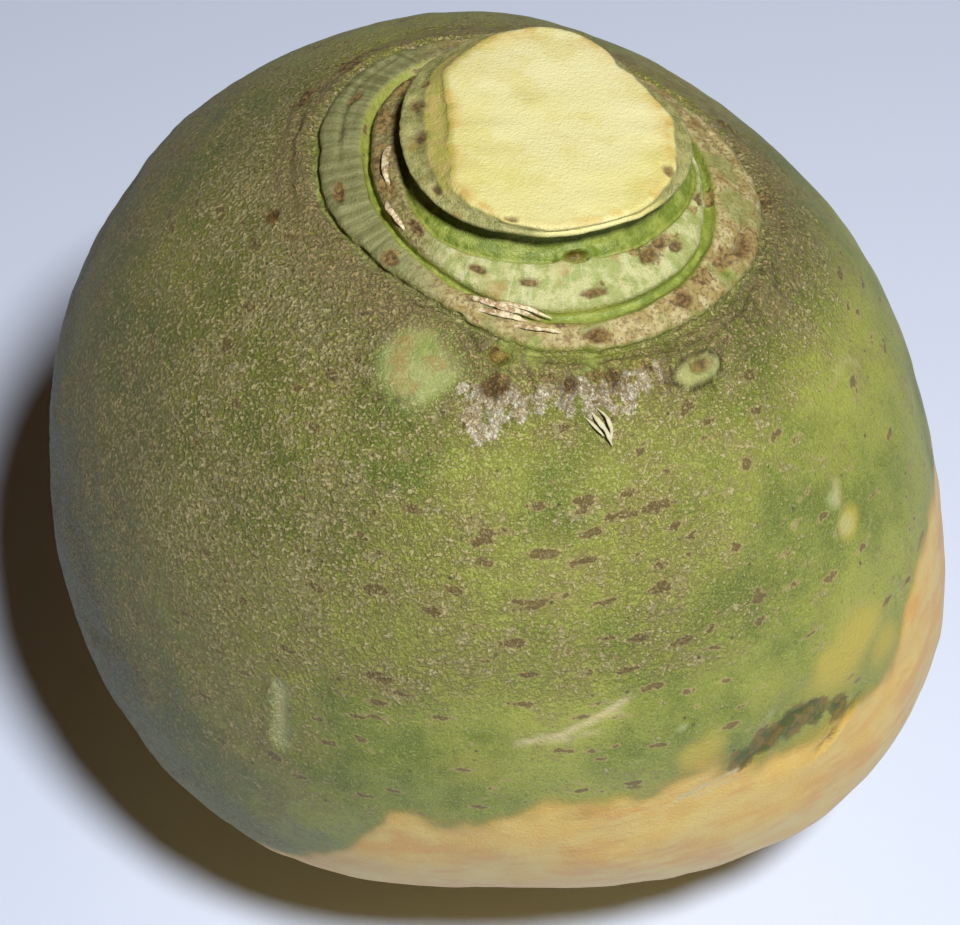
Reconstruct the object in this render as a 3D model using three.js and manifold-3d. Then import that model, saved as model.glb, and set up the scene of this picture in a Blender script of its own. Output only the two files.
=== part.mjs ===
// A rutabaga: the swollen root with its cut leaf neck, drawn as one closed body.
// Millimetres, +Z up, standing on the small flat where the taproot was trimmed.
import * as THREE from "three";
import Module from "manifold-3d";

const wasm = await Module();
wasm.setup();

// The swollen body, a slightly squashed ball with its middle this high above the flat.
const MIDDLE_HEIGHT = 54;
const GIRTH_RADIUS = 62.5;
const TOP_RADIUS = 60;
const BOTTOM_RADIUS = 55;
const FULLNESS = 2.1;

// Swellings and flats of the body: azimuth from +X, elevation, half width (degrees), height.
const SWELLINGS = [
  [0, 0, 19, -3.8],
  [24, 19, 19, -2.3],
  [53, 34, 19, -2.6],
  [90, 40, 19, 2.0],
  [127, 34, 17, 1.5],
  [156, 19, 17, 1.9],
  [-156, -19, 17, 0.5],
  [-127, -34, 17, 2.3],
  [-90, -40, 19, -3.4],
  [-53, -34, 19, 0.6],
  [-24, -19, 25, 6.8],
  [139, 29, 7, 1.0],
  [70, -20, 24, 2.0],
  [130, -35, 20, -1.6],
];

// The trimmed taproot that the root stands on.
const FLAT_RADIUS = 15;
const FLAT_WAVE = 0.7;
const FOOT_RADIUS = 16.6;
const FOOT_HEIGHT = 1.2;

// The leaf neck stands off the middle, and its cut slopes a little to the right and front.
const NECK_X = 6.4;
const NECK_Y = -0.2;
const CUT_HEIGHT = 119.6;
const CUT_FALL_X = -0.035;
const CUT_FALL_Y = 0.03;

// Radii round the neck at eight compass points, E NE N NW W SW S SE.
const FLESH_EDGE = [15.4, 14.5, 18.6, 17.0, 12.9, 15.9, 16.5, 16.9];
const LIP_EDGE = [17.8, 16.4, 19.6, 20.6, 18.8, 18.1, 16.8, 17.2];
const LIP_DROP = [2.0, 1.8, 1.6, 2.0, 2.2, 1.8, 1.1, 1.5];
const LIP_UNDERCUT = 1.1;
const LIP_THICKNESS = 1.0;
const WAIST_UNDERCUT = 1.9;
const WAIST_LIFT = 3.0;

// Leaf-scar ledges: inner and outer radius at the eight points, and the groove past each.
const FIRST_INNER = [18.9, 18.0, 19.4, 20.4, 18.9, 19.4, 17.0, 16.9];
const FIRST_OUTER = [19.9, 20.0, 22.0, 25.0, 22.6, 21.7, 22.6, 21.7];
const SECOND_INNER = [21.4, 21.6, 23.6, 27.0, 23.9, 22.8, 24.4, 23.4];
const SECOND_OUTER = [27.4, 26.0, 27.5, 32.6, 29.2, 25.5, 27.2, 26.8];
const SHOULDER_INNER = [28.8, 27.6, 29.0, 34.0, 30.6, 27.0, 28.6, 28.4];
const SHOULDER_OUTER = [33.4, 32.5, 34.0, 38.0, 35.5, 32.5, 33.0, 33.2];

const LEDGE_LIFT = 1.0;
const GROOVE_LIFT = -0.5;
const SHOULDER_LIFT = 0.3;

// How finely the body is drawn.
const ROUND_STEPS = 96;
const LOWER_RINGS = 9;
const UPPER_RINGS = 8;
const LOWEST_LATITUDE = -66;

const RAD = Math.PI / 180;

function unit(azimuth, elevation) {
  return new THREE.Vector3(
    Math.cos(azimuth * RAD) * Math.cos(elevation * RAD),
    Math.sin(azimuth * RAD) * Math.cos(elevation * RAD),
    Math.sin(elevation * RAD),
  );
}

const SWELLING_DIRECTIONS = SWELLINGS.map(([azimuth, elevation]) => unit(azimuth, elevation));

// Distance from the body's middle to its skin, in a given direction.
function skinRadius(direction) {
  const across = Math.hypot(direction.x, direction.y);
  const upright = direction.z > 0 ? TOP_RADIUS : BOTTOM_RADIUS;
  const flatPart = (across / GIRTH_RADIUS) ** FULLNESS;
  const tallPart = (Math.abs(direction.z) / upright) ** FULLNESS;
  let radius = (flatPart + tallPart) ** (-1 / FULLNESS);
  SWELLINGS.forEach(([, , halfWidth, height], i) => {
    const away = direction.angleTo(SWELLING_DIRECTIONS[i]) / RAD;
    radius += height * Math.exp(-0.5 * (away / halfWidth) ** 2);
  });
  return radius;
}

function skinPoint(direction) {
  const point = direction.clone().normalize();
  point.multiplyScalar(skinRadius(point));
  point.z += MIDDLE_HEIGHT;
  return point;
}

// Height of the body's skin over a point near the top.
function skinHeight(x, y) {
  let height = 55;
  for (let i = 0; i < 40; i += 1) {
    const direction = new THREE.Vector3(x, y, height);
    const reach = direction.length();
    height *= 0.5 + 0.5 * (skinRadius(direction.divideScalar(reach)) / reach);
  }
  return height + MIDDLE_HEIGHT;
}

// A smooth closed curve through values given at even steps round a circle.
function around(values, angle) {
  const n = values.length;
  const place = (((angle / (2 * Math.PI)) % 1) + 1) % 1 * n;
  const i = Math.floor(place) % n;
  const t = place - Math.floor(place);
  const a = values[(i + n - 1) % n];
  const b = values[i];
  const c = values[(i + 1) % n];
  const d = values[(i + 2) % n];
  const bend = 2 * a - 5 * b + 4 * c - d + t * (3 * (b - c) + d - a);
  return b + 0.5 * t * (c - a + t * bend);
}

function neckPlan(radius, angle) {
  return [NECK_X + radius * Math.cos(angle), NECK_Y + radius * Math.sin(angle)];
}

// A ring at a fall below the neck's cut.
function cutRing(radii, falls, less = 0) {
  return (angle) => {
    const [x, y] = neckPlan(around(radii, angle) - less, angle);
    const level = CUT_HEIGHT + CUT_FALL_X * (x - NECK_X) + CUT_FALL_Y * (y - NECK_Y);
    return new THREE.Vector3(x, y, level - around(falls, angle));
  };
}

// A ring at a lift above the body's skin, between two of the radii lists.
function ledgeRing(radii, lift, outer = radii, share = 0) {
  return (angle) => {
    const radius = around(radii, angle) * (1 - share) + around(outer, angle) * share;
    const [x, y] = neckPlan(radius, angle);
    return new THREE.Vector3(x, y, skinHeight(x, y) + lift);
  };
}

const noFall = [0];
const underFall = LIP_DROP.map((drop) => drop + LIP_THICKNESS);

const crownRings = [
  ledgeRing(SHOULDER_OUTER, 0),
  ledgeRing(SHOULDER_INNER, SHOULDER_LIFT, SHOULDER_OUTER, 0.4),
  ledgeRing(SHOULDER_INNER, SHOULDER_LIFT),
  ledgeRing(SECOND_OUTER, GROOVE_LIFT, SHOULDER_INNER, 0.3),
  ledgeRing(SECOND_OUTER, 0.7 * LEDGE_LIFT),
  ledgeRing(SECOND_INNER, 0.8 * LEDGE_LIFT),
  ledgeRing(FIRST_OUTER, GROOVE_LIFT, SECOND_INNER, 0.35),
  ledgeRing(FIRST_OUTER, LEDGE_LIFT),
  ledgeRing(FIRST_INNER, 1.6 * LEDGE_LIFT),
  ledgeRing(FIRST_INNER.map((radius) => radius - 0.9), 0.5 * LEDGE_LIFT),
  ledgeRing(LIP_EDGE.map((radius) => radius - WAIST_UNDERCUT), WAIST_LIFT),
  cutRing(LIP_EDGE, underFall, LIP_UNDERCUT),
  cutRing(LIP_EDGE, LIP_DROP),
  cutRing(FLESH_EDGE, noFall),
];

// From the shoulder's outer ring down to the girth, along the shortest way over the body.
function upperRing(share) {
  return (angle) => {
    const top = crownRings[0](angle);
    top.z -= MIDDLE_HEIGHT;
    const side = new THREE.Vector3(Math.cos(angle), Math.sin(angle), 0);
    const turn = new THREE.Quaternion().setFromUnitVectors(side, top.normalize());
    const part = new THREE.Quaternion().slerp(turn, share);
    return skinPoint(side.applyQuaternion(part));
  };
}

function lowerRing(latitude) {
  return (angle) => skinPoint(unit(angle / RAD, latitude));
}

function footRing(radius, height) {
  return (angle) => {
    const reach = radius + FLAT_WAVE * Math.cos(3 * angle + 1) * Math.sin(angle);
    return new THREE.Vector3(reach * Math.cos(angle), reach * Math.sin(angle), height);
  };
}

const rings = [footRing(FLAT_RADIUS, 0), footRing(FOOT_RADIUS, FOOT_HEIGHT)];
for (let i = 0; i < LOWER_RINGS; i += 1) {
  rings.push(lowerRing(LOWEST_LATITUDE * (1 - i / LOWER_RINGS)));
}
for (let i = 0; i < UPPER_RINGS; i += 1) {
  rings.push(upperRing(i / UPPER_RINGS));
}
rings.push(...crownRings);

// Points of every ring, then the middle of the flat and the middle of the cut.
const points = [];
for (const ring of rings) {
  for (let i = 0; i < ROUND_STEPS; i += 1) {
    points.push(ring((2 * Math.PI * i) / ROUND_STEPS));
  }
}
const flatMiddle = points.push(new THREE.Vector3(0, 0, 0)) - 1;
const cutMiddle = points.push(new THREE.Vector3(NECK_X, NECK_Y, CUT_HEIGHT)) - 1;

// The frame's origin is under the middle of the box round the whole root.
const box = new THREE.Box3().setFromPoints(points);
const middle = box.getCenter(new THREE.Vector3());
for (const point of points) {
  point.x -= middle.x;
  point.y -= middle.y;
}

const triangles = [];
const lastRing = rings.length - 1;
for (let j = 0; j < ROUND_STEPS; j += 1) {
  const next = (j + 1) % ROUND_STEPS;
  for (let i = 0; i < lastRing; i += 1) {
    const a = i * ROUND_STEPS + j;
    const b = i * ROUND_STEPS + next;
    const c = (i + 1) * ROUND_STEPS + next;
    const d = (i + 1) * ROUND_STEPS + j;
    triangles.push([a, b, c], [a, c, d]);
  }
  triangles.push([flatMiddle, next, j]);
  triangles.push([cutMiddle, lastRing * ROUND_STEPS + j, lastRing * ROUND_STEPS + next]);
}

const solid = new wasm.Manifold(
  new wasm.Mesh({
    numProp: 3,
    vertProperties: new Float32Array(points.flatMap((p) => [p.x, p.y, p.z])),
    triVerts: new Uint32Array(triangles.flat()),
  }),
);
const drawn = solid.getMesh();

const geometry = new THREE.BufferGeometry();
geometry.setAttribute("position", new THREE.BufferAttribute(drawn.vertProperties, 3));
geometry.setIndex(new THREE.BufferAttribute(drawn.triVerts, 1));
geometry.computeVertexNormals();

const skin = new THREE.MeshStandardMaterial({
  name: "rind",
  color: 0x8f9c4e,
  roughness: 0.6,
  metalness: 0,
});
const root = new THREE.Mesh(geometry, skin);
root.name = "rutabaga";

const model = new THREE.Group();
model.add(root);

export default model;
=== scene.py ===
# %% [markdown]
# # A rutabaga
# This lesson draws one rutabaga: a swollen green root with a tan base, a leaf neck that was cut
# across, and rings of leaf scars round the neck. It stands on the trimmed end of its taproot.
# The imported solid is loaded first, because it fixes the place and the size of everything else.

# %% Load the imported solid
import math

import bpy
import numpy as np
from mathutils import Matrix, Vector


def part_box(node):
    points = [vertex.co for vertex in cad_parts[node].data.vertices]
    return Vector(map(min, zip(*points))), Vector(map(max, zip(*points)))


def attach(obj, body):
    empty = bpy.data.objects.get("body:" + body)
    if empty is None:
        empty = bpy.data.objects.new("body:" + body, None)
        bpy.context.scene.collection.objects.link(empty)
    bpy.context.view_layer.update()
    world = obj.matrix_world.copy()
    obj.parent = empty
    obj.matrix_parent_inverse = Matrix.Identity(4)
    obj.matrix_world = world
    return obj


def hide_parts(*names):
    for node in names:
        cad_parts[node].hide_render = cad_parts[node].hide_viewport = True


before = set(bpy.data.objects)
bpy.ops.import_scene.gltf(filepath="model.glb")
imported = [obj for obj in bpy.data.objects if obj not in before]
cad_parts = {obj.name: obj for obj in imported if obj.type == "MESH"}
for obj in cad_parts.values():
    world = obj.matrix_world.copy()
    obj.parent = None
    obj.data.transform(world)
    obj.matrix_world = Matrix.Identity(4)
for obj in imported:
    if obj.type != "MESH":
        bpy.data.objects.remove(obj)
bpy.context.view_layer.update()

low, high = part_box("rutabaga")
print("solid is", [round((b - a) * 1000, 1) for a, b in zip(low, high)], "mm")

# %% [markdown]
# ## The form of the root
# A real root swells unevenly, so a plain ball would look turned on a lathe. The body here is a
# squashed ball with named swellings and flats added to its radius. It could be sculpted by hand,
# but a short list of swellings keeps it the same each time and easy to change.

# %% The swollen body, in millimetres
MIDDLE = 54.0
GIRTH, TOP, BOTTOM, FULLNESS = 62.5, 60.0, 55.0, 2.1
SWELLINGS = (
    # azimuth, elevation, half width in degrees, height in millimetres
    (0, 0, 19, -3.8), (24, 19, 19, -2.3), (53, 34, 19, -2.6), (90, 40, 19, 2.0),
    (127, 34, 17, 1.5), (156, 19, 17, 1.9), (-156, -19, 17, 0.5), (-127, -34, 17, 2.3),
    (-90, -40, 19, -3.4), (-53, -34, 19, 0.6), (-24, -19, 25, 6.8), (139, 29, 7, 1.0),
    (70, -20, 24, 2.0), (130, -35, 20, -1.6),
)
FINE_SWELLINGS = (
    # the smooth pale lobe under the crown, its neighbours, and shallow dents lower down
    (-110, 60, 4.5, 0.9), (-117, 57.5, 2.2, 0.25), (-55, 7, 4.5, -0.7), (-47, 3, 3.0, 0.5),
    (-64, 11, 6.0, 0.35), (-140, 45, 7.0, 0.45), (-20, 45, 6.0, -0.5), (-100, 30, 8.0, 0.3),
    (30, 30, 6.0, -0.5), (75, 5, 8.0, 0.6), (110, 20, 6.0, -0.4), (170, 50, 6.0, 0.4),
)


def toward(azimuth, elevation):
    a, e = math.radians(azimuth), math.radians(elevation)
    return np.array([math.cos(a) * math.cos(e), math.sin(a) * math.cos(e), math.sin(e)])


def skin_radius(directions):
    across = np.hypot(directions[..., 0], directions[..., 1])
    upright = np.where(directions[..., 2] > 0, TOP, BOTTOM)
    tall = np.abs(directions[..., 2]) / upright
    radius = ((across / GIRTH) ** FULLNESS + tall ** FULLNESS) ** (-1 / FULLNESS)
    for azimuth, elevation, width, height in SWELLINGS + FINE_SWELLINGS:
        turned = np.clip(directions @ toward(azimuth, elevation), -1, 1)
        away = np.degrees(np.arccos(turned))
        radius = radius + height * np.exp(-0.5 * (away / width) ** 2)
    return radius


def skin_point(directions):
    unit = directions / np.linalg.norm(directions, axis=-1, keepdims=True)
    return unit * skin_radius(unit)[..., None] + np.array([0, 0, MIDDLE])


def skin_height(plan):
    """Height of the body's skin over points near the top."""
    height = np.full(plan.shape[:-1], 55.0)
    for _ in range(26):
        reach = np.concatenate([plan, height[..., None]], -1)
        size = np.linalg.norm(reach, axis=-1)
        height = height * (0.5 + 0.5 * skin_radius(reach / size[..., None]) / size)
    return height + MIDDLE


print("girth radius in front", round(float(skin_radius(toward(-90, 0))), 1), "mm")

# %% [markdown]
# ## The neck and its leaf scars
# Each fallen leaf leaves a shelf of old skin with a groove of fresh green above it. The shelves
# are lopsided, so each edge is given by its radius at eight compass points, E NE N NW W SW S SE,
# and a smooth closed curve runs through them.

# %% Curves round the neck
NECK = np.array([6.4, -0.2])
CUT_HEIGHT, CUT_FALL_X, CUT_FALL_Y = 119.6, -0.035, 0.03
FLESH = (15.4, 14.5, 18.6, 17.0, 12.9, 15.9, 16.5, 16.9)
LIP = (17.8, 16.4, 19.6, 20.6, 18.8, 18.1, 16.8, 17.2)
LIP_DROP = (2.0, 1.8, 1.6, 2.0, 2.2, 1.8, 1.1, 1.5)
FIRST_INNER = (18.9, 18.0, 19.4, 20.4, 18.9, 19.4, 17.0, 16.9)
FIRST_OUTER = (19.9, 20.0, 22.0, 25.0, 22.6, 21.7, 22.6, 21.7)
SECOND_INNER = (21.4, 21.6, 23.6, 27.0, 23.9, 22.8, 24.4, 23.4)
SECOND_OUTER = (27.4, 26.0, 27.5, 32.6, 29.2, 25.5, 27.2, 26.8)
THIRD_INNER = (28.8, 27.6, 29.0, 34.0, 30.6, 27.0, 28.6, 28.4)
THIRD_OUTER = (33.4, 32.5, 34.0, 38.0, 35.5, 32.5, 33.0, 33.2)


def around(values, angle):
    values = np.asarray(values, float)
    place = (angle / (2 * math.pi)) % 1 * len(values)
    i = np.floor(place).astype(int)
    t = place - i
    a, b, c, d = (values[(i + k) % len(values)] for k in (-1, 0, 1, 2))
    return b + 0.5 * t * (c - a + t * (2 * a - 5 * b + 4 * c - d + t * (3 * (b - c) + d - a)))


# %% Smooth noise for everything that grew a little unevenly
def lattice(points, size, seed):
    """Smooth noise from -1 to 1, with lumps about `size` millimetres across."""
    p = np.asarray(points, float) / size + seed * 17.13
    i = np.floor(p).astype(np.int64)
    f = p - i
    f = f * f * f * (f * (f * 6 - 15) + 10)
    total = np.zeros(p.shape[:-1])
    for dx in (0, 1):
        for dy in (0, 1):
            for dz in (0, 1):
                key = (i[..., 0] + dx) * 374761393 + (i[..., 1] + dy) * 668265263
                key = key + (i[..., 2] + dz) * 2147483647 + seed * 974634777
                key = (key ^ (key >> 13)) * 1274126177 & 0x7FFFFFFF
                value = ((key ^ (key >> 16)) & 0xFFFF) / 32767.5 - 1
                weight = (f[..., 0] if dx else 1 - f[..., 0])
                weight = weight * (f[..., 1] if dy else 1 - f[..., 1])
                weight = weight * (f[..., 2] if dz else 1 - f[..., 2])
                total += weight * value
    return total


def layered(points, size, seed, layers=3):
    total, share = 0, 1.0
    for k in range(layers):
        total = total + share * lattice(points, size / 2 ** k, seed + k)
        share *= 0.5
    return total


def ease(x, start, end):
    t = np.clip((x - start) / (end - start), 0, 1)
    return t * t * (3 - 2 * t)


print("noise sample", round(float(lattice(np.array([[1.0, 2.0, 3.0]]), 4, 1)[0]), 3))

# %% [markdown]
# ## Rings of points
# The whole surface is one closed sheet of rings, from the flat under the root up to the middle of
# the cut. Rings crowd together at the neck, where the detail is, and columns crowd together in
# front. A remeshed sculpt would lose the thin edges of the scars, and rings keep them.

# %% Columns
COLUMNS = 424
even = np.arange(COLUMNS) / COLUMNS * 2 * math.pi
turn = even - 0.26 * np.cos(even)
print("columns are", round(float(np.diff(turn).min() * 57.3), 2), "to",
      round(float(np.diff(turn).max() * 57.3), 2), "degrees apart")


def wobble(size, seed, height):
    """Unevenness along an edge that runs round the neck."""
    ring = np.stack([np.cos(turn), np.sin(turn), np.zeros(COLUMNS)], -1) * 20
    return height * layered(ring, size, seed, 3)


def plan_of(radius):
    return NECK + radius[:, None] * np.stack([np.cos(turn), np.sin(turn)], -1)


def shelf(radius, lift):
    plan = plan_of(radius)
    return np.concatenate([plan, (skin_height(plan) + lift)[:, None]], -1)


def cut(radius, drop):
    plan = plan_of(radius)
    level = CUT_HEIGHT + CUT_FALL_X * (plan[:, 0] - NECK[0]) + CUT_FALL_Y * (plan[:, 1] - NECK[1])
    return np.concatenate([plan, (level - drop)[:, None]], -1)


# %% Edges of the neck and its shelves
lip = around(LIP, turn) + wobble(9, 3, 0.22)
lip_drop = around(LIP_DROP, turn) + wobble(7, 5, 0.25)
west = np.cos(turn - math.radians(183))
ridge_limit = np.where(west > 0.45, 12.75 / np.maximum(west, 0.45), 99)
flesh = np.minimum(around(FLESH, turn), ridge_limit) + wobble(4, 8, 0.28)
flesh = np.minimum(flesh, lip - 0.35)
first_in = around(FIRST_INNER, turn) + wobble(8, 11, 0.2)
first_out = around(FIRST_OUTER, turn) + wobble(6, 14, 0.22)
second_in = around(SECOND_INNER, turn) + wobble(5, 17, 0.3)
second_out = around(SECOND_OUTER, turn) + wobble(5, 20, 0.4)
third_in = around(THIRD_INNER, turn) + wobble(6, 23, 0.4)
third_out = around(THIRD_OUTER, turn)
first_in = np.maximum(first_in, lip + 0.1)
gap_two = np.maximum(second_in - first_out, 0.9)
second_in = first_out + gap_two
wall_foot = np.minimum(first_in - 1.6, lip - 0.9)
print("lip is", round(float(lip.min()), 1), "to", round(float(lip.max()), 1), "mm from its middle")

# %% Stations down the neck, each with how many rings lead to the next
frayed = wobble(2.2, 31, 0.12)
stations = [
    # name, points, rings to the next station
    ("third_out", shelf(third_out, 0.0), 7),
    ("third_mid", shelf(third_in + 0.4 * (third_out - third_in), 0.25), 6),
    ("third_edge", shelf(third_in + 0.45, 0.38 + 0.5 * frayed), 2),
    ("third_lip", shelf(third_in, 0.15), 2),
    ("third_wall", shelf(second_out + 0.45 * (third_in - second_out), -0.5), 2),
    ("second_under", shelf(second_out + 0.05, -0.42), 2),
    ("second_lip", shelf(second_out + 0.1 + frayed, 0.35), 2),
    ("second_edge", shelf(second_out - 0.35 + frayed, 0.72), 6),
    ("second_mid", shelf(0.5 * (second_in + second_out), 0.72 + wobble(3, 33, 0.12)), 6),
    ("second_rise", shelf(second_in + 0.5, 0.85), 2),
    ("second_in", shelf(second_in, 0.7), 3),
    ("second_floor", shelf(first_out + 0.5 * gap_two, -0.45), 3),
    ("first_under", shelf(first_out - 0.05, -0.5), 2),
    ("first_lip", shelf(first_out + 0.1 + 0.5 * frayed, 0.55), 2),
    ("first_edge", shelf(first_out - 0.35 + 0.5 * frayed, 1.02), 7),
    ("first_mid", shelf(0.5 * (first_in + first_out), 1.2 + wobble(3, 36, 0.08)), 6),
    ("first_rise", shelf(first_in + 0.35, 1.5), 2),
    ("first_in", shelf(first_in, 1.3), 2),
    ("bead_foot", shelf(first_in - 0.45, 0.75), 2),
    ("bead", shelf(first_in - 0.95, 1.35 + wobble(6, 39, 0.2)), 3),
    ("wall_foot", shelf(wall_foot, 1.9), 5),
    ("waist", shelf(lip - 1.9, 3.4), 5),
    ("lip_under", cut(lip - 1.0, lip_drop + 1.0), 3),
    ("lip_low", cut(lip - 0.12, lip_drop + 0.55), 2),
    ("lip_edge", cut(lip + 0.05 + 0.5 * frayed, lip_drop), 2),
    ("lip_top", cut(lip - 0.3 + 0.5 * frayed, lip_drop - 0.25), 5),
    ("rind", cut(0.45 * lip + 0.55 * flesh, 0.55 * lip_drop), 4),
    ("flesh_foot", cut(flesh + 0.3, 0.28 + 0.0 * lip), 2),
    ("flesh_edge", cut(flesh, 0.02 + 0.0 * lip), 3),
    ("flesh_in", cut(flesh * 0.94, -0.05 + 0.0 * lip), 6),
    ("flesh_mid", cut(flesh * 0.7, -0.12 + 0.0 * lip), 5),
    ("flesh_core", cut(flesh * 0.38, -0.1 + 0.0 * lip), 4),
    ("flesh_heart", cut(flesh * 0.08, -0.08 + 0.0 * lip), 0),
]


def crown_rings():
    """A curve through the stations, tight at the edges, and each ring's place among them."""
    posts = np.array([s[1] for s in stations])
    before = np.concatenate([posts[:1] * 2 - posts[1:2], posts[:-1]])
    after = np.concatenate([posts[1:], posts[-1:] * 2 - posts[-2:-1]])
    reach_in = np.linalg.norm(posts - before, axis=-1, keepdims=True)
    reach_out = np.linalg.norm(after - posts, axis=-1, keepdims=True)
    slope = (posts - before) / np.maximum(reach_in, 1e-6) + (after - posts) / np.maximum(reach_out, 1e-6)
    slope = slope / np.maximum(np.linalg.norm(slope, axis=-1, keepdims=True), 0.8)
    rings, place = [], []
    for k in range(len(stations) - 1):
        count = stations[k][2]
        span = reach_out[k]
        for j in range(count):
            t = j / count
            h = (2 * t ** 3 - 3 * t ** 2 + 1, t ** 3 - 2 * t ** 2 + t,
                 -2 * t ** 3 + 3 * t ** 2, t ** 3 - t ** 2)
            rings.append(h[0] * posts[k] + 0.8 * h[1] * span * slope[k]
                         + h[2] * posts[k + 1] + 0.8 * h[3] * span * slope[k + 1])
            place.append(k + t)
    rings.append(posts[-1])
    place.append(len(stations) - 1)
    return np.array(rings), np.array(place)


crown, crown_place = crown_rings()
print(len(crown), "rings from the shoulder to the middle of the cut")

# %% [markdown]
# ## The body below the crown
# From the shoulder down to the girth each column follows the shortest way over the body. Below
# the girth it goes straight down to the trimmed taproot, which ends in the flat.

# %% Rings of the body
UPPER, LOWER = 76, 30
side = np.stack([np.cos(turn), np.sin(turn), np.zeros(COLUMNS)], -1)
top = crown[0] - np.array([0, 0, MIDDLE])
top = top / np.linalg.norm(top, axis=-1, keepdims=True)
swing = np.arccos(np.clip((side * top).sum(-1), -1, 1))[:, None]


def upper_ring(share):
    way = np.sin((1 - share) * swing) * side + np.sin(share * swing) * top
    return skin_point(way / np.sin(swing))


def lower_ring(latitude):
    e = math.radians(latitude)
    return skin_point(side * math.cos(e) + np.array([0, 0, math.sin(e)]))


def foot_ring(radius, height):
    reach = radius + 0.7 * np.cos(3 * turn + 1) * np.sin(turn)
    return np.concatenate([reach[:, None] * side[:, :2], np.full((COLUMNS, 1), height)], -1)


feet = [foot_ring(r, 0.0) for r in (2.5, 6.0, 9.5, 12.5, 14.4)]
feet += [foot_ring(15.0, 0.0), foot_ring(15.5, 0.25), foot_ring(16.2, 0.85), foot_ring(17.1, 1.35)]
below = [lower_ring(lat) for lat in (-70.5, -68.5)]
steps = np.linspace(0, 1, LOWER, endpoint=False)
below += [lower_ring(-66 * (1 - s) ** 1.15) for s in steps]
above = [upper_ring(s) for s in np.linspace(0, 1, UPPER, endpoint=False)]
rings = np.array(feet + below + above + list(crown))
FIRST_CROWN = len(rings) - len(crown)
print(len(rings), "rings of", COLUMNS, "points:", len(rings) * COLUMNS * 2, "triangles")

# %% [markdown]
# ## Marks in the surface
# Leaf scars, bud holes, cracks and creases are real dents and ridges, so they are pushed into the
# points, and each also writes a mask that the material reads later. Every mark is placed by
# azimuth and elevation on the body, or by azimuth and radius round the neck.

# %% Places and distances
points = rings.reshape(-1, 3)
place = np.concatenate([np.full(FIRST_CROWN, -1.0), crown_place]).repeat(COLUMNS)
plan_from_neck = points[:, :2] - NECK
neck_radius = np.hypot(plan_from_neck[:, 0], plan_from_neck[:, 1])
neck_angle = np.degrees(np.arctan2(plan_from_neck[:, 1], plan_from_neck[:, 0]))
from_middle = points - np.array([0, 0, MIDDLE])
body_dir = from_middle / np.linalg.norm(from_middle, axis=-1, keepdims=True)
station_index = {s[0]: k for k, s in enumerate(stations)}


def normals_of(grid):
    down = np.roll(grid, 1, 0)
    up = np.roll(grid, -1, 0)
    down[0], up[-1] = grid[0], grid[-1]
    across = np.roll(grid, -1, 1) - np.roll(grid, 1, 1)
    n = np.cross(across, up - down)
    return n / np.maximum(np.linalg.norm(n, axis=-1, keepdims=True), 1e-9)


outward = normals_of(rings).reshape(-1, 3)
outward[:COLUMNS] = (0, 0, -1)
outward[-COLUMNS:] = (0, 0, 1)


def on_body(azimuth, elevation):
    return skin_point(toward(azimuth, elevation))


def by_neck(azimuth, radius, lift=0.5):
    a = math.radians(azimuth)
    plan = NECK + radius * np.array([math.cos(a), math.sin(a)])
    return np.array([plan[0], plan[1], float(skin_height(plan)) + lift])


def to_path(spots, path):
    """Distance from every point to a line through the path's points."""
    best = np.full(len(spots), 1e9)
    for a, b in zip(path[:-1], path[1:]):
        along = b - a
        t = np.clip(((spots - a) @ along) / max(along @ along, 1e-9), 0, 1)
        best = np.minimum(best, np.linalg.norm(spots - a - t[:, None] * along, axis=-1))
    return best


marks = {name: np.zeros(len(points)) for name in
         ("scar", "crack", "scale", "pale", "green", "base", "cork", "bud", "bruise", "amber",
          "stain", "rows", "scratch", "facet", "yellow", "dried", "smooth")}
push = np.zeros(len(points))

# %% Leaf-trace scars: small corky ovals with a raised rim
SCARS = (
    # azimuth, radius round the neck, length round the neck, width, depth, lift
    (-146, 20.3, 1.7, 0.75, 0.28, 1.3), (-117, 20.2, 1.4, 0.6, 0.25, 1.2),
    (-98, 19.9, 1.5, 0.65, 0.25, 1.2), (-76, 21.0, 2.0, 0.7, 0.28, 1.2),
    (-50, 18.6, 1.6, 1.1, 0.3, 1.3), (-42, 18.0, 1.1, 0.9, 0.3, 1.3), (-37, 19.6, 1.2, 0.9, 0.3, 1.2),
    (-10, 19.2, 1.1, 0.9, 0.3, 1.3), (-172, 26.9, 2.3, 0.7, 0.4, 0.7),
    (-143, 25.1, 1.5, 1.0, 0.3, 0.7), (-111, 23.4, 1.9, 0.6, 0.35, 0.5),
    (-78, 26.0, 1.5, 1.1, 0.3, 0.6), (-49, 25.0, 1.5, 1.2, 0.35, 0.7), (-20, 25.8, 2.1, 1.1, 0.3, 0.5),
    (-103, 32.8, 1.9, 1.5, 0.3, 0.1), (-86, 31.2, 1.0, 1.2, 0.3, 0.1), (-76, 30.6, 1.1, 1.2, 0.3, 0.1),
    (100, 25.0, 1.6, 0.8, 0.3, 0.7), (60, 23.6, 1.4, 0.8, 0.3, 0.6), (35, 24.0, 1.8, 0.9, 0.3, 0.6),
    (150, 29.0, 1.9, 0.9, 0.3, 0.7), (125, 23.0, 1.6, 0.8, 0.3, 1.0), (-174, 35.6, 1.4, 1.2, 0.3, 0.1),
)
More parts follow.
